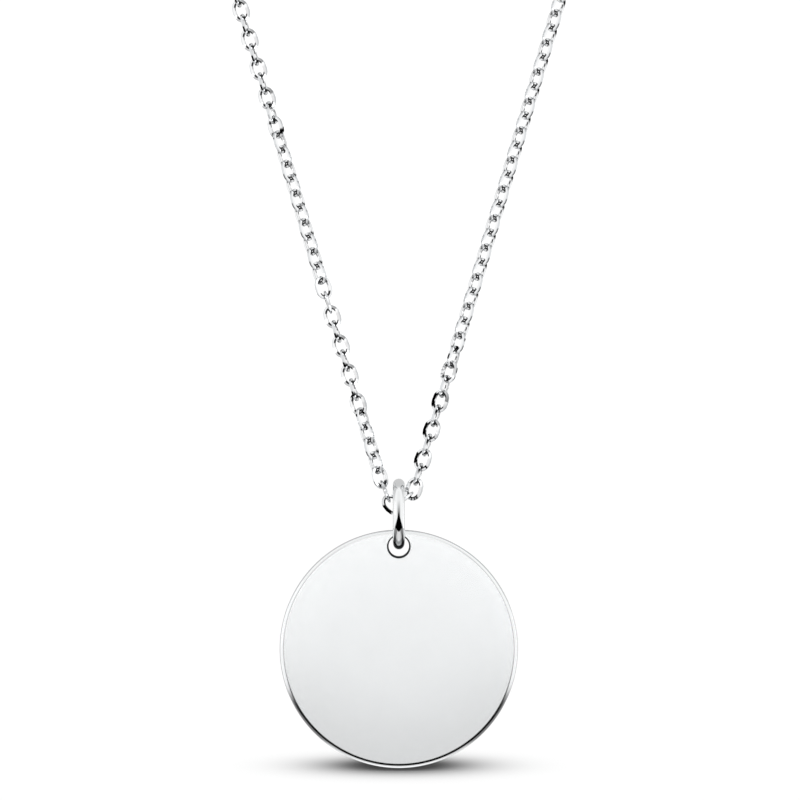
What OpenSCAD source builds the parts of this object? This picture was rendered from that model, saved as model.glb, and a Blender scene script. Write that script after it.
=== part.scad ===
/* [Disc] */
// Diameter of the disc
disc_d = 20; // [16:0.5:26]
// Thickness of the disc
disc_t = 1.5; // [1.2:0.1:1.7]
// Radius of the polished round along both edges of the rim
rim_round = 0.3; // [0.2:0.05:0.45]
// Diameter of the hole that the jump ring passes through
hole_d = 1.82; // [1.78:0.02:2.2]
// Metal left between the hole and the rim
hole_web = 0.5; // [0.4:0.05:0.7]
// Width of the eased edge at both mouths of the hole
hole_ease = 0.1; // [0.05:0.01:0.15]

/* [Jump ring] */
// Outer diameter of the jump ring
ring_d = 6; // [5.8:0.1:7]
// Diameter of its round wire
ring_wire = 1; // [0.8:0.05:1.05]
// Gap between the ring's wire and the top of the hole
ring_play = 0.2; // [0.18:0.01:0.28]
// Height of the ring's inner top above the axis that it swings on
ring_seat = 1.2; // [1.15:0.05:1.4]
// Gap between the ring's wire and the links beside it
ring_clearance = 0.1; // [0.1:0.02:0.2]

/* [Chain] */
// Length of the whole necklace with its clasp
chain_length = 450; // [400:5:600]
// Half of the angle between the two strands
strand_angle = 16.6; // [14:0.1:20]
// Outer length of a link
link_len = 2.03; // [1.96:0.01:2.15]
// Outer width of a link
link_w = 1.47; // [1.42:0.01:1.52]
// Diameter of a link's wire
link_wire = 0.32; // [0.28:0.01:0.34]
// Gap between one link's wire and the next link's wire
link_gap = 0.11; // [0.11:0.01:0.13]
// Distance of the lowest link from the middle of the necklace
lowest_shift = 0.55; // [0.5:0.01:0.6]
// Slope of the lowest link
lowest_slope = 45; // [40:1:50]
// Links made one by one on each side, up from the lowest ones
front_links = 44; // [36:1:56]

/* [Clasp] */
// Outer diameter of the clasp's ring
clasp_d = 6; // [5:0.1:8]
// Wire of the clasp's ring
clasp_wire = 1.2; // [0.9:0.1:1.4]
// Outer diameter of the small eye on each side of the clasp
eye_d = 1.9; // [1.85:0.05:2.1]
// Wire of the small eyes
eye_wire = 0.5; // [0.45:0.01:0.52]

/* [Hidden] */

// Steps of a full circle and of a quarter round
$fn = 48;
ROUND_STEPS = 8;
TUBE_SIDES = 8;
TUBE_RINGS = 38;
RIGHT = 1;
LEFT = -1;

// Turn of the links about their strand: distance from the strand's tip, then the turn in degrees
right_turns = [[5, -16], [13, -22], [18, -45], [47, -45]];
left_turns = [
    [4, 25], [7, 45], [10, 45], [12.5, 74], [19.5, 74], [23.5, 135], [34, 135], [39, 164], [47, 164]
];

// A link is two round ends joined by two straight sides
link_round = (link_w - link_wire) / 2;
link_side = link_len - link_w;
link_reach = link_wire + link_gap;
pitch = link_len - 2 * link_wire - link_gap;
link_overrun = (link_reach + link_wire) / 2;

// Distance from a lowest link's end centre to the end centre of the link after next
span = 2 * pitch - link_side;

// The strands start from one point below the swing axis, which keeps them clear of the jump ring
ring_round = (ring_d - ring_wire) / 2;
ring_in_r = ring_d / 2 - ring_wire;
tip_drop = (ring_wire / 2 + link_w / 2 + ring_clearance) / sin(strand_angle) - ring_seat - ring_wire / 2;

// Lowest link, its two end centres and the first joint of each strand, from the swing axis
lowest_end = link_side / 2 * [cos(lowest_slope), -sin(lowest_slope)];
lowest_at = [-lowest_shift, 0];
right_end = lowest_at + lowest_end;
left_end = lowest_at - lowest_end;
right_start = strand_reach(right_end, RIGHT);
left_start = strand_reach(left_end, LEFT);
first_joint = (pitch - link_side) / 2;

// The loop is two straight strands and a round stretch over the nape
loop_factor = 1 / tan(strand_angle) + PI / 2 + strand_angle * PI / 180;
loop_cut = right_start + left_start - 2 * first_joint - 3 * pitch;
neck_r = (chain_length + loop_cut) / loop_factor / 2;
strand_len = neck_r / tan(strand_angle);
half_len = neck_r * loop_factor;
tip_z = -neck_r - neck_r / sin(strand_angle);
axis_z = tip_z + tip_drop;

// Clasp, and where the last link ends beside its eye
eye_round = (eye_d - eye_wire) / 2;
eye_reach = clasp_d / 2 + eye_d / 2 - eye_wire / 2;
last_joint = half_len - eye_reach - (eye_round - eye_wire / 2 - link_wire / 2 - link_gap) - link_reach / 2;

// Jump ring and disc hang below the swing axis
ring_z = axis_z + ring_seat - ring_in_r;
hole_z = ring_z - ring_round - (hole_d / 2 - ring_wire / 2 - ring_play);
disc_z = hole_z + hole_d / 2 + hole_web - disc_d / 2;

// Distance along a strand from its tip to the point that lies a span away from a lowest link's end
function strand_reach(end, side) =
    let (
        across = [side * sin(strand_angle), cos(strand_angle)],
        from_tip = [end.x, end.y + tip_drop],
        along = from_tip * across
    )
    along + sqrt(span * span - from_tip * from_tip + along * along);

// Point and slope of a strand at a distance from its tip
function strand_point(side, s) =
    s < strand_len
        ? [side * s * sin(strand_angle), 0, tip_z + s * cos(strand_angle)]
        : let (a = (s - strand_len) / neck_r * 180 / PI - strand_angle)
            [side * neck_r * cos(a), 0, neck_r * sin(a) - neck_r];
function strand_slope(side, s) =
    s < strand_len ? side * strand_angle : side * (strand_angle - (s - strand_len) / neck_r * 180 / PI);

// First joint, number of links, fitted pitch and turn of the links on one side
function start_of(side) = (side == RIGHT ? right_start : left_start) - first_joint;
function count_of(side) = round((last_joint - start_of(side)) / pitch);
function pitch_of(side) = (last_joint - start_of(side)) / count_of(side);
function turns_of(side) =
    let (turns = side == RIGHT ? right_turns : left_turns)
    concat(turns, [[last_joint, (side == RIGHT ? 0 : 180) + 90 * (count_of(side) % 2)]]);
function turn_of(side, i) = lookup(start_of(side) + (i + 0.5) * pitch_of(side), turns_of(side)) + 90 * (i % 2);

module disc() {
    color("gainsboro")
        translate([0, 0, disc_z])
            rotate([90, 0, 0])
                difference() {
                    rotate_extrude()
                        polygon(concat(
                            [[0, disc_t / 2]],
                            [for (a = [90:-90 / ROUND_STEPS:0]) rim_point(a, 1)],
                            [for (a = [0:90 / ROUND_STEPS:90]) rim_point(a, -1)],
                            [[0, -disc_t / 2]]
                        ));
                    translate([0, hole_z - disc_z, 0])
                        hole_cutter();
                }
}

function rim_point(a, face) =
    [disc_d / 2 - rim_round + rim_round * cos(a), face * (disc_t / 2 - rim_round + rim_round * sin(a))];

// Straight bore with both mouths eased by a small round
module hole_cutter() {
    rotate_extrude()
        polygon(concat(
            [[0, -disc_t]],
            [[hole_d / 2 + hole_ease, -disc_t]],
            [for (a = [0:90 / ROUND_STEPS:90]) mouth_point(a, -1)],
            [for (a = [90:-90 / ROUND_STEPS:0]) mouth_point(a, 1)],
            [[hole_d / 2 + hole_ease, disc_t]],
            [[0, disc_t]]
        ));
}

function mouth_point(a, face) =
    [hole_d / 2 + hole_ease * (1 - sin(a)), face * (disc_t / 2 - hole_ease * (1 - cos(a)))];

module jump_ring() {
    color("silver")
        translate([0, 0, ring_z])
            rotate([0, 90, 0])
                wire_ring(ring_round, ring_wire);
}

module wire_ring(round_r, wire) {
    rotate_extrude()
        translate([round_r, 0])
            circle(d = wire);
}

// One link, as long as Z, as wide as X
module link() {
    for (end = [0, 180])
        rotate([0, end, 0])
            translate([0, 0, link_side / 2])
                rotate([90, 0, 0])
                    rotate_extrude(angle = 180)
                        translate([link_round, 0])
                            circle(d = link_wire);
    for (side = [LEFT, RIGHT])
        translate([side * link_round, 0, -link_side / 2])
            cylinder(d = link_wire, h = link_side);
}

module place_link(at, slope, turn) {
    translate(at)
        rotate([0, slope, 0])
            rotate([0, 0, turn])
                link();
}

// Link number i of a strand, between two joints
module strand_link(side, i) {
    a = strand_point(side, start_of(side) + i * pitch_of(side));
    b = strand_point(side, start_of(side) + (i + 1) * pitch_of(side));
    place_link((a + b) / 2, atan2(b.x - a.x, b.z - a.z), turn_of(side, i));
}

// The link between a strand and the lowest link stands across the necklace's plane
module side_link(end, side) {
    start = strand_point(side, side == RIGHT ? right_start : left_start);
    from = [end.x, 0, axis_z + end.y];
    place_link((start + from) / 2, atan2(start.x - from.x, start.z - from.z), 90);
}

module chain_front() {
    color("silver") {
        place_link([lowest_at.x, 0, axis_z + lowest_at.y], 90 + lowest_slope, 0);
        side_link(right_end, RIGHT);
        side_link(left_end, LEFT);
        for (side = [LEFT, RIGHT], i = [0:front_links - 1])
            strand_link(side, i);
    }
}

// Plain tube along the hidden stretch of one strand, as thick as the links are wide
module strand_tube(side) {
    s0 = start_of(side) + front_links * pitch_of(side) + link_overrun + link_gap;
    s1 = last_joint - pitch_of(side) - link_overrun - link_gap;
    points = [
        for (k = [0:TUBE_RINGS - 1], j = [0:TUBE_SIDES - 1])
            let (
                s = s0 + (s1 - s0) * k / (TUBE_RINGS - 1),
                slope = strand_slope(side, s),
                a = j * 360 / TUBE_SIDES
            )
            strand_point(side, s)
                + link_w / 2 * [cos(a) * cos(slope), sin(a), -cos(a) * sin(slope)]
    ];
    walls = [
        for (k = [0:TUBE_RINGS - 2], j = [0:TUBE_SIDES - 1])
            let (n = (j + 1) % TUBE_SIDES)
            [k * TUBE_SIDES + j, (k + 1) * TUBE_SIDES + j, (k + 1) * TUBE_SIDES + n, k * TUBE_SIDES + n]
    ];
    ends = [
        [for (j = [0:TUBE_SIDES - 1]) j],
        [for (j = [TUBE_SIDES - 1:-1:0]) (TUBE_RINGS - 1) * TUBE_SIDES + j]
    ];
    polyhedron(points, concat(walls, ends));
}

module chain_back() {
    color("silver")
        for (side = [LEFT, RIGHT]) {
            strand_tube(side);
            strand_link(side, count_of(side) - 1);
        }
}

// Plain closed clasp: a ring with a small eye on each side
module clasp() {
    color("silver") {
        rotate([90, 0, 0])
            wire_ring((clasp_d - clasp_wire) / 2, clasp_wire);
        for (side = [LEFT, RIGHT])
            translate(strand_point(side, half_len - eye_reach))
                rotate([90, 0, 0])
                    wire_ring(eye_round, eye_wire);
    }
}

disc();
jump_ring();
chain_front();
chain_back();
clasp();
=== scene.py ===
"""Disc pendant on a fine cable chain: polished pieces, floor, lights and camera over the fixed frame."""

import math

import bmesh
import bpy
from bpy.props import FloatProperty, FloatVectorProperty, IntProperty, PointerProperty
from mathutils import Matrix, Vector


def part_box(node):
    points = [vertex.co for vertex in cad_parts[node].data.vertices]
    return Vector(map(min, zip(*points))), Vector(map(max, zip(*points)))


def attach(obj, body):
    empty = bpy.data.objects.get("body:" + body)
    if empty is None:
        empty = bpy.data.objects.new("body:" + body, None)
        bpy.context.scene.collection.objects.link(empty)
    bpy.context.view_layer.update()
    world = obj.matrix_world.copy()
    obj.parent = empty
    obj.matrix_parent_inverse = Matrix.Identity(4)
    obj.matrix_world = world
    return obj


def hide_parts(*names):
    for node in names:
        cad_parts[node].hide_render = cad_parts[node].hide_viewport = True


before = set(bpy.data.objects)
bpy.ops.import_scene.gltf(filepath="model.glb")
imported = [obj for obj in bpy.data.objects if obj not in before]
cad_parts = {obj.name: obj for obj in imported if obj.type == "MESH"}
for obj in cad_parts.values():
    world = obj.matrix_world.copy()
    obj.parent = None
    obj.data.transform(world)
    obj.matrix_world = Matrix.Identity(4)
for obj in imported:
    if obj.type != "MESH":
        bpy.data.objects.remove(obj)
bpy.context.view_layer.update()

bl_info = {
    "name": "Disc Pendant",
    "version": (1, 0, 0),
    "blender": (4, 5, 0),
    "location": "3D View > Sidebar > Pendant",
    "description": "Makes a polished disc pendant on a cable chain, with its studio",
    "category": "Add Mesh",
}

MM = 0.001
RIGHT = 1
LEFT = -1

# Disc: the band beside the hole that is painted near-black as shade, the steps of each round, the rings
# across a face as shares of the way to the rim, the gap from the last one to the rim's round, and the steps
# round the disc
HOLE_SHADE_BAND = 0.045 * MM
MOUTH_STEPS = 10
FACE_SHARES = (0.15, 0.3, 0.45, 0.6, 0.75, 0.9)
RIM_EDGE = 0.01 * MM
DISC_STEPS = 256

# Steps round a ring and round its wire
RING_STEPS, RING_SIDES = 128, 32
EYE_STEPS, EYE_SIDES = 64, 20

# How far a six-sided wire is drawn outwards, so that its outer flat is as wide as the CAD's round wire
OUTER_FLAT = 1.13

# Faces of a link that meet at more than this angle keep a crisp edge
CRISP_ANGLE = math.radians(60)

# Each link's tone is this much further on than the last one's, which spreads them evenly
TONE_STEP = 0.618

# Polish: how many marks there are to a metre, how deep they are, and how they are stretched
DISC_GRAIN, DISC_GRAIN_DEPTH, DISC_STRETCH = 6000, 0.0012 * MM, (1, 1, 0.2)
RING_GRAIN, RING_GRAIN_DEPTH = 9000, 0.0008 * MM
CHAIN_GRAIN, CHAIN_GRAIN_DEPTH = 12000, 0.0006 * MM
DRILL_GRAIN, DRILL_GRAIN_DEPTH = 5000, 0.004 * MM
GRAIN_DETAIL, GRAIN_ROUGHNESS = 4.0, 0.6

# Soft patches of gloss: marks to a patch, detail, and how far the roughness and the tone vary
PATCH_MARKS, PATCH_DETAIL = 12, 3.0
GLOSS_LOW, GLOSS_HIGH = 0.94, 1.06
TONE_LOW = 0.98

# Near-black steel painted as shade in the hole and at the link ends, and the tints of the painted shade
# along a link's outer side and on the disc's rim outline
PAINTED_SHADE_STEEL = (0.03, 0.032, 0.034, 1)
DULL_ROUGHNESS = 0.35
PAINTED_EDGE_SHADE_TINT = (0.8, 0.81, 0.82, 1)
PAINTED_RIM_SHADE_TINT = (0.3, 0.31, 0.32, 1)

# Where the painted shade begins and where it is full: share of the way to a link's end, share of the way to
# the wire's inner or outer side, and how far the rim turns away from the viewer
PAINTED_SHADE_END = (0.6, 0.85)
PAINTED_SHADE_INSIDE = (0.05, 0.3)
PAINTED_EDGE_SHADE_OUTSIDE = (0.35, 0.6)
PAINTED_RIM_SHADE_TURN = (0.4, 0.75)

# Turn in degrees from each link to the next, and links between the two strands
QUARTER_TURN = 90
LOWEST_LINKS = 3

# Turn of the links about their strand: distance from the strand's tip, then the turn in degrees
RIGHT_TURNS = ((5 * MM, -16), (13 * MM, -22), (18 * MM, -45), (47 * MM, -45))
LEFT_TURNS = (
    (4 * MM, 25), (7 * MM, 45), (10 * MM, 45), (12.5 * MM, 74), (19.5 * MM, 74), (23.5 * MM, 135),
    (34 * MM, 135), (39 * MM, 164), (47 * MM, 164),
)

# Brightness of the studio that the metal mirrors
WHITE = 1.05
BEHIND_DROP = 0.4
BACK_TOP_GREY = 0.66
FOOT_GREY = 0.62
GLINT_GREY = 0.8
STRIP_GREYS = (0.25, 0.97)
TABLE_DARK = 0.75

# Where each part of that studio begins and where it is full, as parts of a direction of length 1
BEHIND = (0.5, 0.8)
BACK = (0.0, 0.3)
TOP = (0.2, 0.5)
FOOT = (-0.85, -0.6)
STRIP_SIDES = (0.25, 0.6)
STRIP_FRONT = (-0.1, 0.3)
STRIP_FOOT = (-0.6, -0.3)
STRIP_RISE = (0.1, 0.75)
FLAG_TOP = (0.08, 0.18)
FLAG_FOOT = (-0.86, -0.825)
FLAG_FRONT = (0.02, 0.14)
TABLE_FOOT = (-0.85, -0.75)
TABLE_TOP = (-0.45, -0.3)
TABLE_SIDES = (0.4, 0.6)

# Slant of the front flag's top towards its sides, and bow of its foot
FLAG_SLANT = 0.64
FLAG_BOW = 0.45

# Round flags at both sides and the light patch at the studio's foot: direction and reach
LEFT_FLAG = Vector((-0.924, -0.265, 0.276)).normalized()
RIGHT_FLAG = Vector((0.927, 0.375, 0)).normalized()
FLAG_REACH = math.radians(14)
GLINT = Vector((0, -0.33, -0.944)).normalized()
GLINT_REACH = math.radians(24)
PATCH_EDGE = math.radians(2)

# Light of the backdrop, of the fill on the floor and of the sun
BACKDROP_LIGHT = 1.1
FLOOR_FILL = 0.06
SUN_LIGHT = 3.35
SUN_ANGLE = math.radians(4)

# Graded cloth that draws the shadow: its place behind the pendant's middle and over the floor, how far its
# shade reaches to the sides and back, how dark it is, and the size of the cloth in such reaches
FLAG_BACK = 12 * MM
FLAG_HEIGHT = 49 * MM
SHADOW_REACH = (6.7 * MM, 17 * MM)
SHADOW_DEPTH = 1.35
CLOTH_REACH = 2.3

# Cards behind the camera for the disc: name, lowest and highest slope in degrees, brightness
FACE_DISTANCE = 0.9
FACE_WIDTH = 0.54
FACE_CARDS = (
    ("light_face_wide", -13, 9, 0.76),
    ("light_face_top", -2.6, 9, 0.3),
    ("light_face_rim", 9, 32, 0.5),
)

# Large card in front of the pendant, to the right, for the chain
CHAIN_CARD_WAY = (0.4, -0.9, -0.15)
CHAIN_CARD_DISTANCE = 0.8
CHAIN_CARD_SIZE = (1.0, 1.7)
CHAIN_CARD_LIGHT = 0.9

# Round cards: direction, reach in degrees, brightness and pieces. The two small ones close to the chain also
# have the point that they are aimed at, from the disc's middle, and their distance from it
CARD_DISTANCE = 0.6
CHAIN = ("chain_links",)
DISC = ("disc_polished",)
RING = ("jump_ring_polished",)
SMOOTH_PIECES = ("disc_polished", "jump_ring_polished", "clasp_polished")
ROUND_CARDS = (
    ((-0.68, -0.38, -0.63), 26, 0.7, CHAIN),
    ((0.68, -0.38, -0.63), 26, 0.7, CHAIN),
    ((0.08, -0.87, -0.48), 18, 0.6, CHAIN),
    ((-0.38, -0.88, -0.3), 9, 0.9, CHAIN, (2.8 * MM, 0, 17.5 * MM), 40 * MM),
    ((-0.23, -0.97, -0.04), 12, 0.75, CHAIN, (-3 * MM, 0, 20.7 * MM), 60 * MM),
    (LEFT_FLAG, 15, 1.1, SMOOTH_PIECES),
    (RIGHT_FLAG, 15, 1.1, SMOOTH_PIECES),
    ((0, 0.55, -0.83), 32, 0.75, DISC),
    ((0, 0.72, -0.69), 45, 0.3, RING),
)

# Camera: width of its sensor in millimetres and the far end of its view in metres
SENSOR_WIDTH = 36.0
CLIP_END = 20.0


def box_size(node):
    """Width, depth and height of a CAD node."""
    low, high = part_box(node)
    return Vector(high) - Vector(low)


def box_middle(node):
    """Middle of a CAD node's box."""
    low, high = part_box(node)
    return (Vector(high) + Vector(low)) / 2


def length_property(name, description, default):
    """A length in metres for a settings group."""
    return FloatProperty(
        name=name, description=description, default=default, min=0,
        subtype="DISTANCE", unit="LENGTH", precision=5,
    )


def share_property(name, description, default):
    """A share from 0 to 1 for a settings group."""
    return FloatProperty(name=name, description=description, default=default, min=0, max=1)


def colour_property(name, description, default):
    """A colour for a settings group."""
    return FloatVectorProperty(
        name=name, description=description, default=default, min=0, max=1, size=4, subtype="COLOR"
    )


class PendantDiscSettings(bpy.types.PropertyGroup):
    """Sizes and colour of the disc."""

    rim_round: length_property("Rim round", "Radius of the polished round along the rim's edges", 0.38 * MM)
    hole_diameter: length_property("Hole", "Diameter of the hole for the jump ring", 1.72 * MM)
    hole_web: length_property("Web", "Metal left between the hole and the rim", 0.5 * MM)
    hole_ease: length_property("Eased mouth", "Width of the eased edge at both mouths of the hole", 0.1 * MM)
    crown: length_property("Crown", "How much lower polishing leaves the faces at the rim", 0.1 * MM)
    colour: colour_property("Steel", "Colour of the polished disc", (0.9, 0.915, 0.92, 1))
    roughness: share_property("Roughness", "Blur of the disc's reflections", 0.15)


class PendantRingSettings(bpy.types.PropertyGroup):
    """Sizes and colour of the jump ring and the clasp."""

    wire: length_property("Ring wire", "Diameter of the jump ring's wire", 1.0 * MM)
    clasp_wire: length_property("Clasp wire", "Wire of the clasp's ring", 1.2 * MM)
    eye_diameter: length_property("Eye", "Outer diameter of the eye on each side of the clasp", 1.9 * MM)
    eye_wire: length_property("Eye wire", "Wire of the small eyes", 0.5 * MM)
    colour: colour_property("Steel", "Colour of the polished ring and clasp", (0.88, 0.89, 0.895, 1))
    roughness: share_property("Roughness", "Blur of the ring's reflections", 0.08)


class PendantChainSettings(bpy.types.PropertyGroup):
    """Sizes and colour of the cable chain."""

    length: length_property("Length", "Length of the whole necklace with its clasp", 450 * MM)
    strand_angle: FloatProperty(
        name="Strand angle", description="Half of the angle between the strands",
        default=math.radians(16.6), subtype="ANGLE",
    )
    link_length: length_property("Link length", "Outer length of a link", 2.03 * MM)
    link_width: length_property("Link width", "Outer width of a link", 1.47 * MM)
    wire: length_property("Link wire", "Diameter of a link's wire", 0.32 * MM)
    gap: length_property("Link gap", "Gap between the wires of two links", 0.11 * MM)
    ring_seat: length_property("Ring seat", "Height of the jump ring's inner top above its axis", 1.2 * MM)
    ring_clearance: length_property("Ring clearance", "Gap between the ring and the links", 0.1 * MM)
    lowest_shift: length_property("Lowest link", "Distance of the lowest link from the middle", 0.55 * MM)
    lowest_slope: FloatProperty(
        name="Lowest slope", description="Slope of the lowest link",
        default=math.radians(45), subtype="ANGLE",
    )
    inner_share: FloatProperty(
        name="Inner share", description="How far a wire bulges inwards, where 1 is round",
        default=0.2, min=0.1, max=1,
    )
    oval_share: share_property("Oval share", "0 for straight sides, 1 for a full oval", 0.6)
    round_steps: IntProperty(name="Round steps", description="Points along a link's wire", default=16, min=8)
    wire_sides: IntProperty(name="Wire sides", description="Sides of a link's wire", default=6, min=5)
    colour: colour_property("Steel", "Colour of the bright chain", (0.9, 0.905, 0.91, 1))
    roughness: share_property("Roughness", "Blur of the links' reflections", 0.06)


class PendantStageSettings(bpy.types.PropertyGroup):
    """Floor, lights and camera."""

    photo_width: length_property("Picture width", "Width of the picture at the disc", 67.2 * MM)
    photo_rise: length_property("Picture rise", "Height of the picture's middle above the disc's", 20.9 * MM)
    photo_shift: length_property("Picture shift", "Distance of the picture's middle to the right", 0.1 * MM)
    distance: length_property("Camera distance", "Distance of the camera from the disc", 700 * MM)
    floor_gap: length_property("Floor gap", "Gap between the disc and the floor", 0.3 * MM)
    floor_size: length_property("Floor size", "Side of the square floor", 6.0)
    floor_colour: colour_property("Floor", "Colour of the pale floor", (0.9, 0.9, 0.9, 1))


# Meshes made ring by ring


def finish_mesh(name, vertices, faces):
    """A smooth closed mesh object whose faces point outwards."""
    mesh = bpy.data.meshes.new(name)
    mesh.from_pydata(vertices, [], faces)
    body = bmesh.new()
    body.from_mesh(mesh)
    bmesh.ops.recalc_face_normals(body, faces=body.faces)
    body.to_mesh(mesh)
    body.free()
    mesh.polygons.foreach_set("use_smooth", [True] * len(mesh.polygons))
    piece = bpy.data.objects.new(name, mesh)
    bpy.context.scene.collection.objects.link(piece)
    return piece


def joined_rings(rings, steps):
    """Faces between closed rings of as many points each, the last of which meets the first."""
    count = len(rings)
    vertices = [point for ring in rings for point in ring]
    faces = []
    for k in range(count):
        below = k * steps
        above = (k + 1) % count * steps
        for j in range(steps):
            after = (j + 1) % steps
            faces.append((below + j, below + after, above + after, above + j))
    return vertices, faces


def wire_ring(middle, round_radius, wire, along, steps=RING_STEPS, sides=RING_SIDES):
    """Vertices and faces of a round wire bent to a ring about the axis named by along."""
    normal = Vector(along)
    across = normal.orthogonal().normalized()
    upward = normal.cross(across)
    rings = []
    for k in range(steps):
        turn = math.tau * k / steps
        outward = across * math.cos(turn) + upward * math.sin(turn)
        rings.append([
            middle + outward * (round_radius + wire / 2 * math.cos(math.tau * j / sides))
            + normal * (wire / 2 * math.sin(math.tau * j / sides))
            for j in range(sides)
        ])
    return joined_rings(rings, sides)


def disc_profile(settings, radius, thickness):
    """The disc's section from the hole to the rim and back: share of the way, radius and depth."""
    ease = settings.hole_ease
    rounding = settings.rim_round
    hole = settings.hole_diameter / 2
    flat = radius - rounding
    mouth = hole + ease
    front = []
    for k in range(MOUTH_STEPS + 1):
        turn = math.pi / 2 * k / MOUTH_STEPS
        front.append((0.0, mouth - ease * math.cos(turn), thickness / 2 - ease * (1 - math.sin(turn))))
    for share in (HOLE_SHADE_BAND / flat, *FACE_SHARES, 1 - RIM_EDGE / flat):
        front.append((share, mouth + (flat - mouth) * share, thickness / 2))
    for k in range(MOUTH_STEPS + 1):
        turn = math.pi / 2 * (1 - k / MOUTH_STEPS)
        depth = thickness / 2 - rounding * (1 - math.sin(turn))
        front.append((1.0, flat + rounding * math.cos(turn), depth))
    return front + [(share, reach, -depth) for share, reach, depth in reversed(front)]


# Node helpers


def add_node(tree, kind, **settings):
    """A node with its settings, where a name such as input_Scale sets that socket."""
    node = tree.nodes.new(kind)
    for key, value in settings.items():
        if key.startswith("input_"):
            node.inputs[key[len("input_"):].replace("_", " ")].default_value = value
        else:
            setattr(node, key, value)
    return node


def math_node(tree, operation, *values, clamp=False):
    """The output of a Math node on sockets or numbers."""
    node = add_node(tree, "ShaderNodeMath", operation=operation, use_clamp=clamp)
    for socket, value in zip(node.inputs, values):
        if isinstance(value, bpy.types.NodeSocket):
            tree.links.new(value, socket)
        else:
            socket.default_value = value
    return node.outputs[0]


def smooth_step(tree, value, low, high):
    """0 below low, 1 above high, and a soft rise between."""
    node = add_node(
        tree, "ShaderNodeMapRange", interpolation_type="SMOOTHSTEP", input_From_Min=low, input_From_Max=high
    )
    tree.links.new(value, node.inputs["Value"])
    return node.outputs["Result"]


def mixed_shader(tree, share, first, second):
    """Mix Shader node with the first node's shader where the share is 0 and the second's where it is 1."""
    mix = add_node(tree, "ShaderNodeMixShader")
    tree.links.new(share, mix.inputs[0])
    tree.links.new(first.outputs[0], mix.inputs[1])
    tree.links.new(second.outputs[0], mix.inputs[2])
    return mix


def tint(tree, kind, share, colour):
    """Lays a colour over what feeds the steel's base colour, as far as the share says."""
    base = tree.nodes["Principled BSDF"].inputs["Base Color"]
    layer = add_node(tree, "ShaderNodeMixRGB", blend_type=kind, input_Color2=colour)
    bright = base.links[0].from_socket
    tree.links.new(share, layer.inputs["Fac"])
    tree.links.new(bright, layer.inputs["Color1"])
    tree.links.new(layer.outputs["Color"], base)


def polished_steel(name, colour, roughness, grain, grain_depth, stretch=(1, 1, 1), tone=False):
    """Bright steel with fine polishing marks, a little uneven gloss and a slight change of tone."""
    material = bpy.data.materials.new(name)
    material.use_nodes = True
    tree = material.node_tree
    shader = tree.nodes["Principled BSDF"]
    shader.inputs["Metallic"].default_value = 1.0
    place = add_node(tree, "ShaderNodeTexCoord")

    # Uneven gloss in soft patches
    patches = add_node(
        tree, "ShaderNodeTexNoise", input_Scale=grain / PATCH_MARKS, input_Detail=PATCH_DETAIL
    )
    tree.links.new(place.outputs["Object"], patches.inputs["Vector"])
    gloss = add_node(
        tree, "ShaderNodeMapRange", input_To_Min=roughness * GLOSS_LOW, input_To_Max=roughness * GLOSS_HIGH
    )
    tree.links.new(patches.outputs["Fac"], gloss.inputs["Value"])
    tree.links.new(gloss.outputs["Result"], shader.inputs["Roughness"])

    # Slight change of tone
    shade = add_node(tree, "ShaderNodeMixRGB", blend_type="MIX")
    shade.inputs["Color1"].default_value = [part * TONE_LOW for part in colour[:3]] + [1]
    shade.inputs["Color2"].default_value = colour
    if tone:
        own = add_node(tree, "ShaderNodeAttribute", attribute_name="tone")
        tree.links.new(own.outputs["Fac"], shade.inputs["Fac"])
    else:
        tree.links.new(patches.outputs["Fac"], shade.inputs["Fac"])
    tree.links.new(shade.outputs["Color"], shader.inputs["Base Color"])

    # Fine marks left by the polishing wheel
    turned = add_node(tree, "ShaderNodeMapping")
    turned.inputs["Scale"].default_value = stretch
    tree.links.new(place.outputs["Object"], turned.inputs["Vector"])
    marks = add_node(
        tree, "ShaderNodeTexNoise",
        input_Scale=grain, input_Detail=GRAIN_DETAIL, input_Roughness=GRAIN_ROUGHNESS,
    )
    tree.links.new(turned.outputs["Vector"], marks.inputs["Vector"])
    bump = add_node(tree, "ShaderNodeBump", input_Strength=1.0, input_Distance=grain_depth)
    tree.links.new(marks.outputs["Fac"], bump.inputs["Height"])
    tree.links.new(bump.outputs["Normal"], shader.inputs["Normal"])
    return material


def drilled_and_shaded_steel(name):
    """Near-black steel with the fine marks of a drill: its dark colour is painted shade in the hole."""
    return polished_steel(name, PAINTED_SHADE_STEEL, DULL_ROUGHNESS, DRILL_GRAIN, DRILL_GRAIN_DEPTH)


def paint_link_end_shade(material):
    """Paints shade on the inner side of both ends of a link, where the next link meets it, and a lighter
    painted shade along the wire's outer side.
    """
    tree = material.node_tree
    end = add_node(tree, "ShaderNodeAttribute", attribute_name="link_end")
    inside = add_node(tree, "ShaderNodeAttribute", attribute_name="link_inside")
    # Painted shade on the inner side of the link ends
    near = smooth_step(tree, end.outputs["Fac"], *PAINTED_SHADE_END)
    within = smooth_step(tree, inside.outputs["Fac"], *PAINTED_SHADE_INSIDE)
    tint(tree, "MIX", math_node(tree, "MULTIPLY", near, within), PAINTED_SHADE_STEEL)
    # Painted shade along the wire's outer side
    outside = math_node(tree, "MULTIPLY", inside.outputs["Fac"], -1.0)
    tint(tree, "MULTIPLY", smooth_step(tree, outside, *PAINTED_EDGE_SHADE_OUTSIDE), PAINTED_EDGE_SHADE_TINT)


def paint_rim_shade(material):
    """Paints the outermost part of a rounded rim darker as it turns from the viewer: painted shade, as
    polished steel looks on a white ground.
    """
    tree = material.node_tree
    weight = add_node(tree, "ShaderNodeLayerWeight")
    tint(tree, "MULTIPLY", smooth_step(tree, weight.outputs["Facing"], *PAINTED_RIM_SHADE_TURN), PAINTED_RIM_SHADE_TINT)


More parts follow.
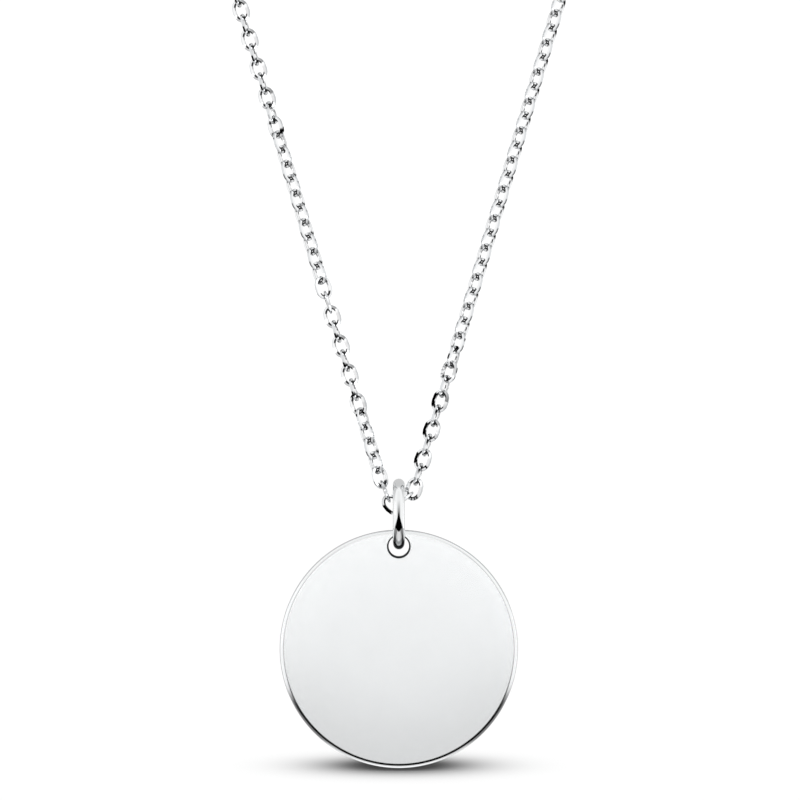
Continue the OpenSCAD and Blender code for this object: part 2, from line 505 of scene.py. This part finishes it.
def finish_piece(piece, material, body, slot, *nodes):
    """Gives a piece its material and body, and hides the CAD nodes that it stands for. The slot is not used.
    """
    if material is not None:
        piece.data.materials.clear()
        piece.data.materials.append(material)
    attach(piece, body)
    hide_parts(*nodes)
    return piece


# The chain's path, as the CAD lays it


def lookup(place, table):
    """Straight-line interpolation in a table of pairs."""
    if place <= table[0][0]:
        return table[0][1]
    for (start, first), (end, last) in zip(table, table[1:]):
        if place <= end:
            return first + (last - first) * (place - start) / (end - start)
    return table[-1][1]


class ChainPath:
    """The loop of the necklace: two straight strands from one tip and a round stretch over the nape."""

    def __init__(self, chain, rings):
        angle = chain.strand_angle
        self.angle = angle
        self.side_length = chain.link_length - chain.link_width
        self.pitch = chain.link_length - 2 * chain.wire - chain.gap
        self.span = 2 * self.pitch - self.side_length
        ring_wire = rings.wire
        self.tip_drop = (
            (ring_wire / 2 + chain.link_width / 2 + chain.ring_clearance) / math.sin(angle)
            - chain.ring_seat - ring_wire / 2
        )
        slope = chain.lowest_slope
        end = Vector((math.cos(slope), 0, -math.sin(slope))) * (self.side_length / 2)
        self.lowest = Vector((-chain.lowest_shift, 0, 0))
        self.ends = {RIGHT: self.lowest + end, LEFT: self.lowest - end}
        self.starts = {side: self.strand_reach(side) for side in (RIGHT, LEFT)}
        first_joint = (self.pitch - self.side_length) / 2
        loop = 1 / math.tan(angle) + math.pi / 2 + angle
        cut = self.starts[RIGHT] + self.starts[LEFT] - 2 * first_joint - LOWEST_LINKS * self.pitch
        self.neck_radius = (chain.length + cut) / loop / 2
        self.strand_length = self.neck_radius / math.tan(angle)
        self.half_length = self.neck_radius * loop
        self.tip_z = -self.neck_radius - self.neck_radius / math.sin(angle)
        self.axis_z = self.tip_z + self.tip_drop
        self.eye_reach = box_size("clasp").z / 2 + rings.eye_diameter / 2 - rings.eye_wire / 2
        eye_round = (rings.eye_diameter - rings.eye_wire) / 2
        self.last_joint = (
            self.half_length - self.eye_reach
            - (eye_round - rings.eye_wire / 2 - chain.wire / 2 - chain.gap) - (chain.wire + chain.gap) / 2
        )
        self.first = {side: self.starts[side] - first_joint for side in (RIGHT, LEFT)}
        self.count = {
            side: round((self.last_joint - self.first[side]) / self.pitch) for side in (RIGHT, LEFT)
        }
        self.fitted = {
            side: (self.last_joint - self.first[side]) / self.count[side] for side in (RIGHT, LEFT)
        }
        self.turns = {
            RIGHT: RIGHT_TURNS + ((self.last_joint, QUARTER_TURN * (self.count[RIGHT] % 2)),),
            LEFT: LEFT_TURNS + ((self.last_joint, QUARTER_TURN * (2 + self.count[LEFT] % 2)),),
        }

    def strand_reach(self, side):
        """Distance from the tip to the strand's point that lies a span away from the lowest link's end."""
        across = Vector((side * math.sin(self.angle), 0, math.cos(self.angle)))
        from_tip = self.ends[side] + Vector((0, 0, self.tip_drop))
        along = from_tip.dot(across)
        return along + math.sqrt(self.span ** 2 - from_tip.dot(from_tip) + along ** 2)

    def point(self, side, distance):
        """Point of a strand at a distance from its tip."""
        if distance < self.strand_length:
            across = side * distance * math.sin(self.angle)
            return Vector((across, 0, self.tip_z + distance * math.cos(self.angle)))
        turn = (distance - self.strand_length) / self.neck_radius - self.angle
        return self.neck_radius * Vector((side * math.cos(turn), 0, math.sin(turn) - 1))

    def links(self):
        """Middle, slope and turn of every link."""
        up = Vector((0, 0, self.axis_z))
        placed = []
        low = self.ends[RIGHT] - self.ends[LEFT]
        placed.append((self.lowest + up, math.atan2(low.x, low.z), 0.0))
        for side in (LEFT, RIGHT):
            start = self.point(side, self.starts[side])
            end = self.ends[side] + up
            way = start - end
            placed.append(((start + end) / 2, math.atan2(way.x, way.z), math.pi / 2))
            for number in range(self.count[side]):
                lower = self.point(side, self.first[side] + number * self.fitted[side])
                upper = self.point(side, self.first[side] + (number + 1) * self.fitted[side])
                half_way = self.first[side] + (number + 0.5) * self.fitted[side]
                turn = lookup(half_way, self.turns[side]) + QUARTER_TURN * (number % 2)
                slope = math.atan2(upper.x - lower.x, upper.z - lower.z)
                placed.append(((lower + upper) / 2, slope, math.radians(turn)))
        return placed


def link_tree(material):
    """Geometry Nodes tree that sets a wire link on each point and turns it as the point says."""
    tree = bpy.data.node_groups.new("Cable links", "GeometryNodeTree")
    face = tree.interface
    face.new_socket(name="Geometry", in_out="INPUT", socket_type="NodeSocketGeometry")
    for name in ("Link round", "Link side", "Wire radius", "Inner share", "Oval share"):
        face.new_socket(name=name, in_out="INPUT", socket_type="NodeSocketFloat")
    for name in ("Round steps", "Wire sides"):
        face.new_socket(name=name, in_out="INPUT", socket_type="NodeSocketInt")
    face.new_socket(name="Geometry", in_out="OUTPUT", socket_type="NodeSocketGeometry")
    given = add_node(tree, "NodeGroupInput")
    result = add_node(tree, "NodeGroupOutput")
    link = tree.links.new

    # A circle whose halves are drawn apart is the middle line of a link
    loop = add_node(tree, "GeometryNodeCurvePrimitiveCircle", mode="RADIUS")
    link(given.outputs["Round steps"], loop.inputs["Resolution"])
    link(given.outputs["Link round"], loop.inputs["Radius"])
    where = add_node(tree, "GeometryNodeInputPosition")
    split = add_node(tree, "ShaderNodeSeparateXYZ")
    link(where.outputs["Position"], split.inputs["Vector"])
    half = math_node(tree, "SIGN", split.outputs["Y"])
    share = math_node(tree, "DIVIDE", split.outputs["Y"], given.outputs["Link round"])
    mixed = add_node(tree, "ShaderNodeMix", data_type="FLOAT")
    link(given.outputs["Oval share"], mixed.inputs["Factor"])
    link(half, mixed.inputs["A"])
    link(share, mixed.inputs["B"])
    reach = math_node(tree, "MULTIPLY", given.outputs["Link side"], 0.5)
    drawn = math_node(tree, "MULTIPLY", mixed.outputs["Result"], reach)
    offset = add_node(tree, "ShaderNodeCombineXYZ")
    link(drawn, offset.inputs["Y"])
    middle_line = add_node(tree, "GeometryNodeSetPosition")
    link(loop.outputs["Curve"], middle_line.inputs["Geometry"])
    link(offset.outputs["Vector"], middle_line.inputs["Offset"])

    # Share of the way to a link's end, where shade is painted on the link's inner side
    ends = add_node(tree, "GeometryNodeStoreNamedAttribute", data_type="FLOAT", domain="POINT")
    ends.inputs["Name"].default_value = "link_end"
    link(middle_line.outputs["Geometry"], ends.inputs["Geometry"])
    link(math_node(tree, "ABSOLUTE", share), ends.inputs["Value"])
    upright = add_node(tree, "GeometryNodeSetCurveNormal", mode="Z_UP")
    link(ends.outputs["Geometry"], upright.inputs["Curve"])

    # The section has six flat sides: wide ones outwards and narrow ones towards the link's hole
    section = add_node(tree, "GeometryNodeCurvePrimitiveCircle", mode="RADIUS")
    link(given.outputs["Wire sides"], section.inputs["Resolution"])
    link(given.outputs["Wire radius"], section.inputs["Radius"])
    outer_share = math_node(tree, "SUBTRACT", 2.0, given.outputs["Inner share"])
    outer_share = math_node(tree, "MULTIPLY", outer_share, OUTER_FLAT)
    outer = math_node(tree, "MAXIMUM", split.outputs["Y"], 0.0)
    outer = math_node(tree, "MULTIPLY", outer, outer_share)
    inner = math_node(tree, "MINIMUM", split.outputs["Y"], 0.0)
    inner = math_node(tree, "MULTIPLY", inner, given.outputs["Inner share"])
    side = math_node(tree, "MULTIPLY", split.outputs["X"], -1.0)
    drop = math_node(tree, "SUBTRACT", given.outputs["Inner share"], 1.0)
    shift = math_node(tree, "MULTIPLY", drop, given.outputs["Wire radius"])
    outward = math_node(tree, "ADD", math_node(tree, "ADD", outer, inner), shift)
    bent = add_node(tree, "ShaderNodeCombineXYZ")
    link(outward, bent.inputs["X"])
    link(side, bent.inputs["Y"])
    inside = add_node(tree, "GeometryNodeStoreNamedAttribute", data_type="FLOAT", domain="POINT")
    inside.inputs["Name"].default_value = "link_inside"
    link(section.outputs["Curve"], inside.inputs["Geometry"])
    inward = math_node(tree, "DIVIDE", outward, given.outputs["Wire radius"])
    link(math_node(tree, "MULTIPLY", inward, -1.0), inside.inputs["Value"])
    shaped = add_node(tree, "GeometryNodeSetPosition")
    link(inside.outputs["Geometry"], shaped.inputs["Geometry"])
    link(bent.outputs["Vector"], shaped.inputs["Position"])
    wire = add_node(tree, "GeometryNodeCurveToMesh")
    link(upright.outputs["Curve"], wire.inputs["Curve"])
    link(shaped.outputs["Geometry"], wire.inputs["Profile Curve"])

    turn = add_node(tree, "GeometryNodeInputNamedAttribute", data_type="FLOAT_VECTOR")
    turn.inputs["Name"].default_value = "link_turn"
    spin = add_node(tree, "FunctionNodeEulerToRotation")
    link(turn.outputs["Attribute"], spin.inputs["Euler"])
    placed = add_node(tree, "GeometryNodeInstanceOnPoints")
    link(given.outputs["Geometry"], placed.inputs["Points"])
    link(wire.outputs["Mesh"], placed.inputs["Instance"])
    link(spin.outputs["Rotation"], placed.inputs["Rotation"])
    real = add_node(tree, "GeometryNodeRealizeInstances")
    link(placed.outputs["Instances"], real.inputs["Geometry"])
    smooth = add_node(tree, "GeometryNodeSetShadeSmooth", domain="FACE")
    link(real.outputs["Geometry"], smooth.inputs["Geometry"])

    # The filed faces of a wire meet in crisp edges
    angle = add_node(tree, "GeometryNodeInputMeshEdgeAngle")
    steep = math_node(tree, "GREATER_THAN", angle.outputs["Unsigned Angle"], CRISP_ANGLE)
    crisp = add_node(tree, "GeometryNodeSetShadeSmooth", domain="EDGE")
    crisp.inputs["Shade Smooth"].default_value = False
    link(smooth.outputs["Geometry"], crisp.inputs["Geometry"])
    link(steep, crisp.inputs["Selection"])
    dressed = add_node(tree, "GeometryNodeSetMaterial")
    dressed.inputs["Material"].default_value = material
    link(crisp.outputs["Geometry"], dressed.inputs["Geometry"])
    link(dressed.outputs["Geometry"], result.inputs["Geometry"])
    return tree


def points_object(name, placed):
    """Loose points that carry each link's turn and its own tone."""
    mesh = bpy.data.meshes.new(name)
    mesh.from_pydata([middle for middle, _, _ in placed], [], [])
    mesh.attributes.new("link_turn", "FLOAT_VECTOR", "POINT")
    mesh.attributes.new("tone", "FLOAT", "POINT")
    turns = mesh.attributes["link_turn"]
    tones = mesh.attributes["tone"]
    lay = Matrix.Rotation(math.pi / 2, 3, "X")
    for k, (_, slope, turn) in enumerate(placed):
        way = Matrix.Rotation(slope, 3, "Y") @ Matrix.Rotation(turn, 3, "Z") @ lay
        turns.data[k].vector = way.to_euler("XYZ")
        tones.data[k].value = (k * TONE_STEP) % 1
    points = bpy.data.objects.new(name, mesh)
    bpy.context.scene.collection.objects.link(points)
    return points


def grown_mesh(source, tree, values, name):
    """Runs a Geometry Nodes tree on an object and keeps the result as a plain mesh object."""
    modifier = source.modifiers.new("Grow", "NODES")
    modifier.node_group = tree
    for socket in tree.interface.items_tree:
        if socket.in_out == "INPUT" and socket.name in values:
            modifier[socket.identifier] = values[socket.name]
    graph = bpy.context.evaluated_depsgraph_get()
    graph.update()
    mesh = bpy.data.meshes.new_from_object(source.evaluated_get(graph))
    mesh.name = name
    piece = bpy.data.objects.new(name, mesh)
    bpy.context.scene.collection.objects.link(piece)
    source.modifiers.remove(modifier)
    bpy.data.objects.remove(source)
    return piece


class PENDANT_OT_disc(bpy.types.Operator):
    """Makes the polished disc with its hole and rounded rim"""

    bl_idname = "pendant.disc"
    bl_label = "Make disc"

    def execute(self, context):
        settings = context.scene.pendant_disc
        size = box_size("disc")
        middle = box_middle("disc")
        radius = size.x / 2
        hole_up = radius - settings.hole_web - settings.hole_diameter / 2
        rings = []
        for share, reach, depth in disc_profile(settings, radius, size.y):
            ring = []
            for j in range(DISC_STEPS):
                turn = math.tau * j / DISC_STEPS
                x = reach * math.sin(turn)
                z = reach * math.cos(turn) + hole_up * (1 - share)
                fall = 1 - settings.crown / (size.y / 2) * ((x * x + z * z) / radius ** 2) ** 2
                ring.append(middle + Vector((x, -depth * fall, z)))
            rings.append(ring)
        piece = finish_mesh("disc_polished", *joined_rings(rings, DISC_STEPS))
        steel = polished_steel(
            "Disc steel", settings.colour, settings.roughness, DISC_GRAIN, DISC_GRAIN_DEPTH, DISC_STRETCH
        )
        # Painted shade along the disc's rim outline, darker where the rim turns from the viewer
        paint_rim_shade(steel)
        finish_piece(piece, steel, "pendant", "disc_steel", "disc")
        # Near-black paint on the hole's bore, its eased mouths and a thin band beside them stands in for the
        # shade in the hole
        piece.data.materials.append(drilled_and_shaded_steel("Drilled steel with painted shade"))
        hole_shade_rings = MOUTH_STEPS + 1
        for face in piece.data.polygons:
            ring = face.index // DISC_STEPS
            if ring < hole_shade_rings or ring >= len(rings) - hole_shade_rings - 1:
                face.material_index = 1
        return {"FINISHED"}


class PENDANT_OT_jump_ring(bpy.types.Operator):
    """Makes the round jump ring that carries the disc"""

    bl_idname = "pendant.jump_ring"
    bl_label = "Make jump ring"

    def execute(self, context):
        settings = context.scene.pendant_ring
        round_radius = (box_size("jump_ring").z - settings.wire) / 2
        shape = wire_ring(box_middle("jump_ring"), round_radius, settings.wire, (1, 0, 0))
        piece = finish_mesh("jump_ring_polished", *shape)
        steel = polished_steel(
            "Ring steel", settings.colour, settings.roughness, RING_GRAIN, RING_GRAIN_DEPTH
        )
        finish_piece(piece, steel, "bail", "ring_steel", "jump_ring")
        return {"FINISHED"}


class PENDANT_OT_chain(bpy.types.Operator):
    """Makes every link of the cable chain with Geometry Nodes"""

    bl_idname = "pendant.chain"
    bl_label = "Make chain"

    def execute(self, context):
        settings = context.scene.pendant_chain
        path = ChainPath(settings, context.scene.pendant_ring)
        steel = polished_steel(
            "Chain steel", settings.colour, settings.roughness, CHAIN_GRAIN, CHAIN_GRAIN_DEPTH, tone=True
        )
        # Painted shade at the inner side of the link ends and along the wires' outer sides
        paint_link_end_shade(steel)
        points = points_object("link_points", path.links())
        values = {
            "Link round": (settings.link_width - settings.wire) / 2,
            "Link side": path.side_length,
            "Wire radius": settings.wire / 2,
            "Inner share": settings.inner_share,
            "Oval share": settings.oval_share,
            "Round steps": settings.round_steps,
            "Wire sides": settings.wire_sides,
        }
        piece = grown_mesh(points, link_tree(steel), values, "chain_links")
        finish_piece(piece, None, "necklace", "chain_steel", "chain_front", "chain_back")
        return {"FINISHED"}


class PENDANT_OT_clasp(bpy.types.Operator):
    """Makes the plain clasp at the nape with its two eyes"""

    bl_idname = "pendant.clasp"
    bl_label = "Make clasp"

    def execute(self, context):
        settings = context.scene.pendant_ring
        path = ChainPath(context.scene.pendant_chain, settings)
        round_radius = (box_size("clasp").z - settings.clasp_wire) / 2
        shape = wire_ring(box_middle("clasp"), round_radius, settings.clasp_wire, (0, 1, 0))
        piece = finish_mesh("clasp_polished", *shape)
        eye_round = (settings.eye_diameter - settings.eye_wire) / 2
        for side in (LEFT, RIGHT):
            middle = path.point(side, path.half_length - path.eye_reach)
            shape = wire_ring(middle, eye_round, settings.eye_wire, (0, 1, 0), EYE_STEPS, EYE_SIDES)
            eye = finish_mesh("clasp_eye", *shape)
            join = piece.modifiers.new("Join", "BOOLEAN")
            join.operation = "UNION"
            join.solver = "EXACT"
            join.object = eye
            graph = bpy.context.evaluated_depsgraph_get()
            graph.update()
            joined = bpy.data.meshes.new_from_object(piece.evaluated_get(graph))
            piece.modifiers.remove(join)
            piece.data = joined
            bpy.data.objects.remove(eye)
        steel = polished_steel(
            "Clasp steel", settings.colour, settings.roughness, RING_GRAIN, RING_GRAIN_DEPTH
        )
        finish_piece(piece, steel, "necklace", "clasp_steel", "clasp")
        return {"FINISHED"}


# The studio


def blend(tree, share, first, second):
    """The first value where the share is 0 and the second where it is 1."""
    node = add_node(tree, "ShaderNodeMix", data_type="FLOAT")
    tree.links.new(share, node.inputs["Factor"])
    tree.links.new(first, node.inputs["A"])
    if isinstance(second, bpy.types.NodeSocket):
        tree.links.new(second, node.inputs["B"])
    else:
        node.inputs["B"].default_value = second
    return node.outputs["Result"]


def without(tree, value):
    """1 minus a value."""
    return math_node(tree, "SUBTRACT", 1.0, value)


def patch(tree, direction, middle, reach):
    """1 within a round patch of the directions and 0 outside, with a soft edge."""
    along = add_node(tree, "ShaderNodeVectorMath", operation="DOT_PRODUCT")
    tree.links.new(direction, along.inputs[0])
    along.inputs[1].default_value = middle
    outer, inner = math.cos(reach + PATCH_EDGE), math.cos(reach - PATCH_EDGE)
    return smooth_step(tree, along.outputs["Value"], outer, inner)


def mirrored_studio(tree):
    """How bright the studio of cards and flags is in each direction that the metal can mirror."""
    place = add_node(tree, "ShaderNodeTexCoord")
    direction = place.outputs["Generated"]
    split = add_node(tree, "ShaderNodeSeparateXYZ")
    tree.links.new(direction, split.inputs["Vector"])
    x, y, z = split.outputs
    across = math_node(tree, "ABSOLUTE", x)
    front = math_node(tree, "MULTIPLY", y, -1.0)

    # White cards all round, darker straight behind, grey above and behind and towards the foot
    white = math_node(tree, "MULTIPLY_ADD", smooth_step(tree, y, *BEHIND), -BEHIND_DROP, WHITE)
    back_top = math_node(tree, "MULTIPLY", smooth_step(tree, y, *BACK), smooth_step(tree, z, *TOP))
    white = blend(tree, back_top, white, BACK_TOP_GREY)
    white = blend(tree, without(tree, smooth_step(tree, z, *FOOT)), white, FOOT_GREY)
    white = blend(tree, patch(tree, direction, GLINT, GLINT_REACH), white, GLINT_GREY)

    # Grey ceiling strip over the camera, brighter upwards
    strip = without(tree, smooth_step(tree, across, *STRIP_SIDES))
    strip = math_node(tree, "MULTIPLY", strip, smooth_step(tree, front, *STRIP_FRONT))
    strip = math_node(tree, "MULTIPLY", strip, smooth_step(tree, z, *STRIP_FOOT))
    rise = add_node(
        tree, "ShaderNodeMapRange", input_From_Min=STRIP_RISE[0], input_From_Max=STRIP_RISE[1],
        input_To_Min=STRIP_GREYS[0], input_To_Max=STRIP_GREYS[1],
    )
    tree.links.new(z, rise.inputs["Value"])
    lit = blend(tree, strip, white, rise.outputs["Result"])

    # Black flag in front, below the camera: wide at its foot, with a narrow top
    slant = math_node(tree, "MULTIPLY_ADD", across, FLAG_SLANT, z)
    under = without(tree, smooth_step(tree, slant, *FLAG_TOP))
    bow = math_node(tree, "MULTIPLY", math_node(tree, "MULTIPLY", x, x), -FLAG_BOW)
    foot = smooth_step(tree, math_node(tree, "ADD", z, bow), *FLAG_FOOT)
    before = smooth_step(tree, front, *FLAG_FRONT)
    dark = math_node(tree, "MULTIPLY", math_node(tree, "MULTIPLY", under, foot), before)
    for middle in (LEFT_FLAG, RIGHT_FLAG):
        dark = math_node(tree, "MAXIMUM", dark, patch(tree, direction, middle, FLAG_REACH))

    # Dark edge of the table to the left and right, a little below the pendant
    table = math_node(tree, "SUBTRACT", smooth_step(tree, z, *TABLE_FOOT), smooth_step(tree, z, *TABLE_TOP))
    table = math_node(tree, "MULTIPLY", table, smooth_step(tree, across, *TABLE_SIDES))
    dark = math_node(tree, "MAXIMUM", dark, math_node(tree, "MULTIPLY", table, TABLE_DARK))
    return math_node(tree, "MULTIPLY", lit, without(tree, dark))


def studio_world():
    """White backdrop for the camera, low fill for the floor, and a studio of cards for the metal."""
    world = bpy.data.worlds.new("Studio")
    world.use_nodes = True
    tree = world.node_tree
    tree.nodes.clear()
    mirrored = add_node(tree, "ShaderNodeBackground")
    tree.links.new(mirrored_studio(tree), mirrored.inputs["Color"])
    backdrop = add_node(
        tree, "ShaderNodeBackground", input_Strength=BACKDROP_LIGHT, input_Color=(1, 1, 1, 1)
    )
    fill = add_node(tree, "ShaderNodeBackground", input_Strength=FLOOR_FILL, input_Color=(1, 1, 1, 1))

    # The metal mirrors the studio, the camera sees the backdrop, and all else gets the faint fill
    rays = add_node(tree, "ShaderNodeLightPath")
    direct = math_node(tree, "SUBTRACT", 1.0, rays.outputs["Diffuse Depth"], clamp=True)
    mirror_ray = math_node(tree, "MULTIPLY", rays.outputs["Is Glossy Ray"], direct)
    metal = mixed_shader(tree, mirror_ray, fill, mirrored)
    seen = mixed_shader(tree, rays.outputs["Is Camera Ray"], metal, backdrop)
    out = add_node(tree, "ShaderNodeOutputWorld")
    tree.links.new(seen.outputs[0], out.inputs["Surface"])
    bpy.context.scene.world = world


def linked_to(name, *objects):
    """A collection that only tells a light which objects it lights or is blocked by."""
    group = bpy.data.collections.new(name)
    for item in objects:
        group.objects.link(item)
    return group


def key_sun(flag):
    """Light from straight above, which only the small flag over the pendant's foot softly blocks."""
    light = bpy.data.lights.new("light_key", "SUN")
    light.energy = SUN_LIGHT
    light.angle = SUN_ANGLE
    sun = bpy.data.objects.new("light_key", light)
    sun.visible_glossy = False
    bpy.context.scene.collection.objects.link(sun)
    sun.light_linking.blocker_collection = linked_to("key_blockers", flag)


def graded_cloth():
    """Black cloth that lets more light through away from its middle."""
    cloth = bpy.data.materials.new("Graded cloth")
    cloth.use_nodes = True
    tree = cloth.node_tree
    tree.nodes.clear()
    place = add_node(tree, "ShaderNodeTexCoord")
    split = add_node(tree, "ShaderNodeSeparateXYZ")
    tree.links.new(place.outputs["Object"], split.inputs["Vector"])
    squares = []
    for axis, reach in enumerate(SHADOW_REACH):
        share = math_node(tree, "DIVIDE", split.outputs[axis], reach)
        squares.append(math_node(tree, "MULTIPLY", share, share))
    away = math_node(tree, "ADD", *squares)
    bell = math_node(tree, "EXPONENT", math_node(tree, "MULTIPLY", away, -1.0))
    density = math_node(tree, "MULTIPLY", bell, SHADOW_DEPTH, clamp=True)
    clear = add_node(tree, "ShaderNodeBsdfTransparent")
    black = add_node(tree, "ShaderNodeBsdfDiffuse", input_Color=(0, 0, 0, 1))
    mix = mixed_shader(tree, density, clear, black)
    out = add_node(tree, "ShaderNodeOutputMaterial")
    tree.links.new(mix.outputs[0], out.inputs["Surface"])
    return cloth


def shadow_flag(floor_z):
    """Flag of graded cloth that no camera or mirror sees: it draws the soft shadow under the pendant."""
    x, y = (CLOTH_REACH * reach for reach in SHADOW_REACH)
    mesh = bpy.data.meshes.new("flag")
    mesh.from_pydata([(-x, -y, 0), (x, -y, 0), (x, y, 0), (-x, y, 0)], [], [(0, 1, 2, 3)])
    mesh.materials.append(graded_cloth())
    flag = bpy.data.objects.new("flag", mesh)
    flag.location = (0, FLAG_BACK, floor_z + FLAG_HEIGHT)
    flag.visible_camera = False
    flag.visible_glossy = False
    flag.visible_diffuse = False
    bpy.context.scene.collection.objects.link(flag)
    return flag


def white_card(name, size, brightness, place, facing, receivers, flag):
    """Card, round if it has a single size, that only some pieces mirror and only the flag blocks."""
    light = bpy.data.lights.new(name, "AREA")
    light.size = size[0]
    if len(size) == 1:
        light.shape = "DISK"
        area = math.pi / 4 * light.size ** 2
    else:
        light.shape = "RECTANGLE"
        light.size_y = size[1]
        area = light.size * light.size_y
    light.energy = brightness * math.pi * area
    card = bpy.data.objects.new(name, light)
    card.location = place
    card.rotation_euler = facing.to_track_quat("Z", "Y").to_euler()
    card.visible_camera = False
    bpy.context.scene.collection.objects.link(card)
    card.light_linking.receiver_collection = linked_to("card_receivers", *receivers)
    card.light_linking.blocker_collection = linked_to("card_blockers", flag)


def face_card(name, low, high, brightness, flag):
    """Card behind the camera for the disc alone, between two heights given as slopes in degrees."""
    low, high = (math.tan(math.radians(slope)) * FACE_DISTANCE for slope in (low, high))
    place = box_middle("disc") + Vector((0, -FACE_DISTANCE, (high + low) / 2))
    receivers = (bpy.data.objects["disc_polished"],)
    white_card(name, (FACE_WIDTH, high - low), brightness, place, Vector((0, -1, 0)), receivers, flag)


def round_card(way, reach, brightness, names, flag, seen_from=(0, 0, 0), distance=CARD_DISTANCE):
    """Round card about a direction, as seen from a point that is given from the disc's middle."""
    direction = Vector(way).normalized()
    place = box_middle("disc") + Vector(seen_from) + direction * distance
    diameter = 2 * distance * math.tan(math.radians(reach))
    receivers = [bpy.data.objects[name] for name in names]
    white_card("light_side", (diameter,), brightness, place, direction, receivers, flag)


def paper_floor(settings, floor_z):
    """Square of white paper under the pendant."""
    reach = settings.floor_size / 2
    mesh = bpy.data.meshes.new("floor")
    corners = [(-reach, -reach), (reach, -reach), (reach, reach), (-reach, reach)]
    mesh.from_pydata([(x, y, floor_z) for x, y in corners], [], [(0, 1, 2, 3)])
    floor = bpy.data.objects.new("floor", mesh)
    bpy.context.scene.collection.objects.link(floor)
    paper = bpy.data.materials.new("White paper")
    paper.use_nodes = True
    shader = paper.node_tree.nodes["Principled BSDF"]
    shader.inputs["Base Color"].default_value = settings.floor_colour
    shader.inputs["Roughness"].default_value = 1.0
    shader.inputs["Specular IOR Level"].default_value = 0.0
    mesh.materials.append(paper)
    floor.visible_glossy = False


class PENDANT_OT_stage(bpy.types.Operator):
    """Makes the pale floor, the soft light and the camera"""

    bl_idname = "pendant.stage"
    bl_label = "Make stage"

    def execute(self, context):
        settings = context.scene.pendant_stage
        scene = context.scene
        scene.view_settings.view_transform = "Standard"
        floor_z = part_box("disc")[0][2] - settings.floor_gap
        paper_floor(settings, floor_z)
        studio_world()
        flag = shadow_flag(floor_z)
        key_sun(flag)
        for card in FACE_CARDS:
            face_card(*card, flag)
        aim = Vector(CHAIN_CARD_WAY).normalized()
        place = box_middle("jump_ring") + aim * CHAIN_CARD_DISTANCE
        chain = (bpy.data.objects["chain_links"],)
        white_card("light_chain", CHAIN_CARD_SIZE, CHAIN_CARD_LIGHT, place, aim, chain, flag)
        for way, reach, brightness, names, *near in ROUND_CARDS:
            round_card(way, reach, brightness, names, flag, *near)

        data = bpy.data.cameras.new("camera")
        data.sensor_width = SENSOR_WIDTH
        data.lens = data.sensor_width * settings.distance / settings.photo_width
        data.clip_end = CLIP_END
        camera = bpy.data.objects.new("camera", data)
        shift = Vector((settings.photo_shift, -settings.distance, settings.photo_rise))
        camera.location = box_middle("disc") + shift
        camera.rotation_euler = (math.pi / 2, 0, 0)
        scene.collection.objects.link(camera)
        scene.camera = camera
        return {"FINISHED"}


class PENDANT_PT_panel(bpy.types.Panel):
    """Buttons that make the pendant's pieces."""

    bl_idname = "PENDANT_PT_panel"
    bl_label = "Disc Pendant"
    bl_space_type = "VIEW_3D"
    bl_region_type = "UI"
    bl_category = "Pendant"

    def draw(self, context):
        for operator, settings in MAKERS:
            self.layout.operator(operator)
            group = getattr(context.scene, settings)
            for name in group.bl_rna.properties.keys():
                if name not in ("rna_type", "name"):
                    self.layout.prop(group, name)


MAKERS = (
    ("pendant.disc", "pendant_disc"),
    ("pendant.jump_ring", "pendant_ring"),
    ("pendant.chain", "pendant_chain"),
    ("pendant.clasp", "pendant_ring"),
    ("pendant.stage", "pendant_stage"),
)
SETTINGS = (
    ("pendant_disc", PendantDiscSettings),
    ("pendant_ring", PendantRingSettings),
    ("pendant_chain", PendantChainSettings),
    ("pendant_stage", PendantStageSettings),
)
CLASSES = (
    PendantDiscSettings,
    PendantRingSettings,
    PendantChainSettings,
    PendantStageSettings,
    PENDANT_OT_disc,
    PENDANT_OT_jump_ring,
    PENDANT_OT_chain,
    PENDANT_OT_clasp,
    PENDANT_OT_stage,
    PENDANT_PT_panel,
)


def register():
    """Registers the classes and hangs the settings on the scene."""
    for cls in CLASSES:
        bpy.utils.register_class(cls)
    for name, group in SETTINGS:
        setattr(bpy.types.Scene, name, PointerProperty(type=group))


def unregister():
    """Takes the settings and the classes away again."""
    for name, _ in SETTINGS:
        delattr(bpy.types.Scene, name)
    for cls in reversed(CLASSES):
        bpy.utils.unregister_class(cls)


def main():
    """Makes the stage and every piece."""
    register()
    for operator, _ in MAKERS:
        group, action = operator.split(".")
        getattr(getattr(bpy.ops, group), action)()


if __name__ == "__main__":
    main()
